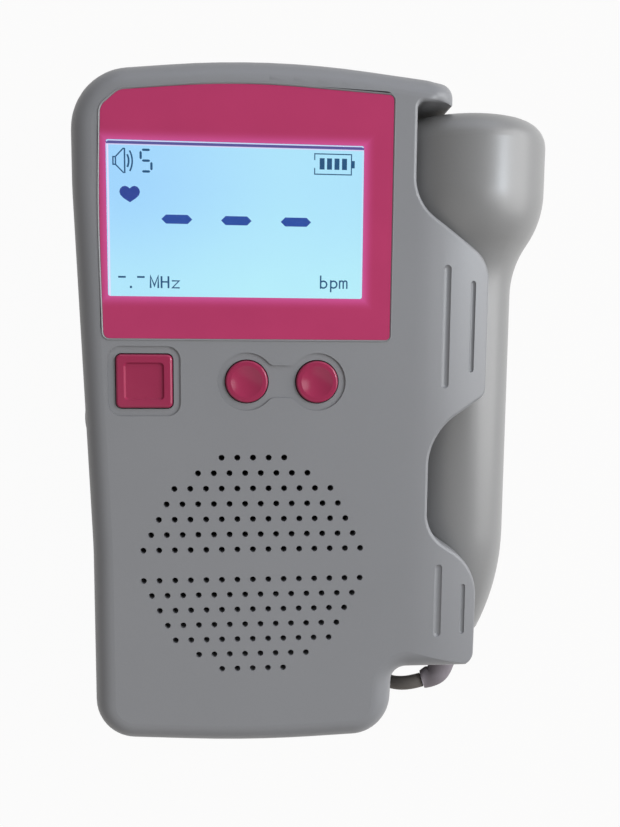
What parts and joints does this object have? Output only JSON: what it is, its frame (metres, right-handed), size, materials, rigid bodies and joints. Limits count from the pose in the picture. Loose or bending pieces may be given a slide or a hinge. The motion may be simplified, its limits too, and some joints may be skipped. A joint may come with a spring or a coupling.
{
  "type": "fetal doppler monitor",
  "caption": "Pocket fetal heart-rate doppler: flat housing with a lit display, round and square push buttons, a speaker grille and a hand-held ultrasound probe docked on its right side.",
  "frame": {"origin": "on the flat rear face, under the speaker's middle from left to right and at half height", "axes": "+Z out of the display, +Y to the top end, +X to the side of the probe's dock"},
  "size_m": [0.0942, 0.1333, 0.0356],
  "materials": {
    "housing_plastic": "fine matt moulded plastic, cool grey",
    "lens_pink": "glossy magenta-pink moulded plastic",
    "clear_pane": "clear polished window",
    "lcd_face": "lit pale blue display glass",
    "white_plastic": "white moulded plastic",
    "black_plastic": "black moulded plastic",
    "board_green": "green circuit board with a glossy mask",
    "gasket_foam": "soft black foam",
    "speaker_steel": "plated pressed steel",
    "speaker_paper": "dark paper cone",
    "cell_jacket": null,
    "contact_metal": "nickel-plated steel",
    "screw_steel": "zinc-plated steel",
    "probe_plastic": "satin moulded plastic, warm grey",
    "face_rubber": "smooth acoustic coupling face",
    "crystal_ceramic": "fired ceramic",
    "absorber_foam": "dense backing rubber",
    "cord_rubber": "matt cable jacket"
  },
  "bodies": {
    "housing": {"battery_1": "cell_jacket", "battery_2": "cell_jacket", "battery_plates": "contact_metal", "battery_springs": "contact_metal", "board_chips": "black_plastic", "board_screws": "screw_steel", "cable_hank": "cord_rubber", "cable_lead": "cord_rubber", "cable_outlet": "cord_rubber", "cable_tail": "cord_rubber", "cable_tie": "cord_rubber", "case_screws": "screw_steel", "display_bezel": "lens_pink", "display_frame": "white_plastic", "display_pane": "clear_pane", "front_shell": "housing_plastic", "headphone_jack": "black_plastic", "lcd_glass": "lcd_face", "light_guide": "white_plastic", "main_board": "board_green", "mode_switch": "black_plastic", "rear_shell": "housing_plastic", "speaker_basket": "speaker_steel", "speaker_cone": "speaker_paper", "speaker_gasket": "gasket_foam", "speaker_magnet": "speaker_steel", "volume_down_switch": "black_plastic", "volume_up_switch": "black_plastic"},
    "probe": {"probe_front_casing": "probe_plastic", "probe_rear_casing": "probe_plastic", "transducer_face": "face_rubber", "crystal_pair": "crystal_ceramic", "absorber": "absorber_foam", "probe_board": "board_green", "probe_screws": "screw_steel", "probe_boot": "cord_rubber"},
    "mode_key": {"mode_button": "lens_pink", "mode_plunger": "black_plastic"},
    "volume_down_key": {"volume_down_button": "lens_pink", "volume_down_plunger": "black_plastic"},
    "volume_up_key": {"volume_up_button": "lens_pink", "volume_up_plunger": "black_plastic"},
    "battery_door": {"battery_cover": "housing_plastic"}
  },
  "joints": [
    {"name": "probe_lift", "type": "slide", "parent": "housing", "child": "probe", "axis": [1, 0, 0], "range_m": [0, 0.025]},
    {"name": "mode_press", "type": "slide", "parent": "housing", "child": "mode_key", "axis": [0, 0, -1], "range_m": [0, 0.0007], "stiffness_N_per_m": 2500},
    {"name": "volume_down_press", "type": "slide", "parent": "housing", "child": "volume_down_key", "axis": [0, 0, -1], "range_m": [0, 0.0007], "stiffness_N_per_m": 2500},
    {"name": "volume_up_press", "type": "slide", "parent": "housing", "child": "volume_up_key", "axis": [0, 0, -1], "range_m": [0, 0.0007], "stiffness_N_per_m": 2500},
    {"name": "battery_door_slide", "type": "slide", "parent": "housing", "child": "battery_door", "axis": [0, -1, 0], "range_m": [0, 0.058]}
  ]
}
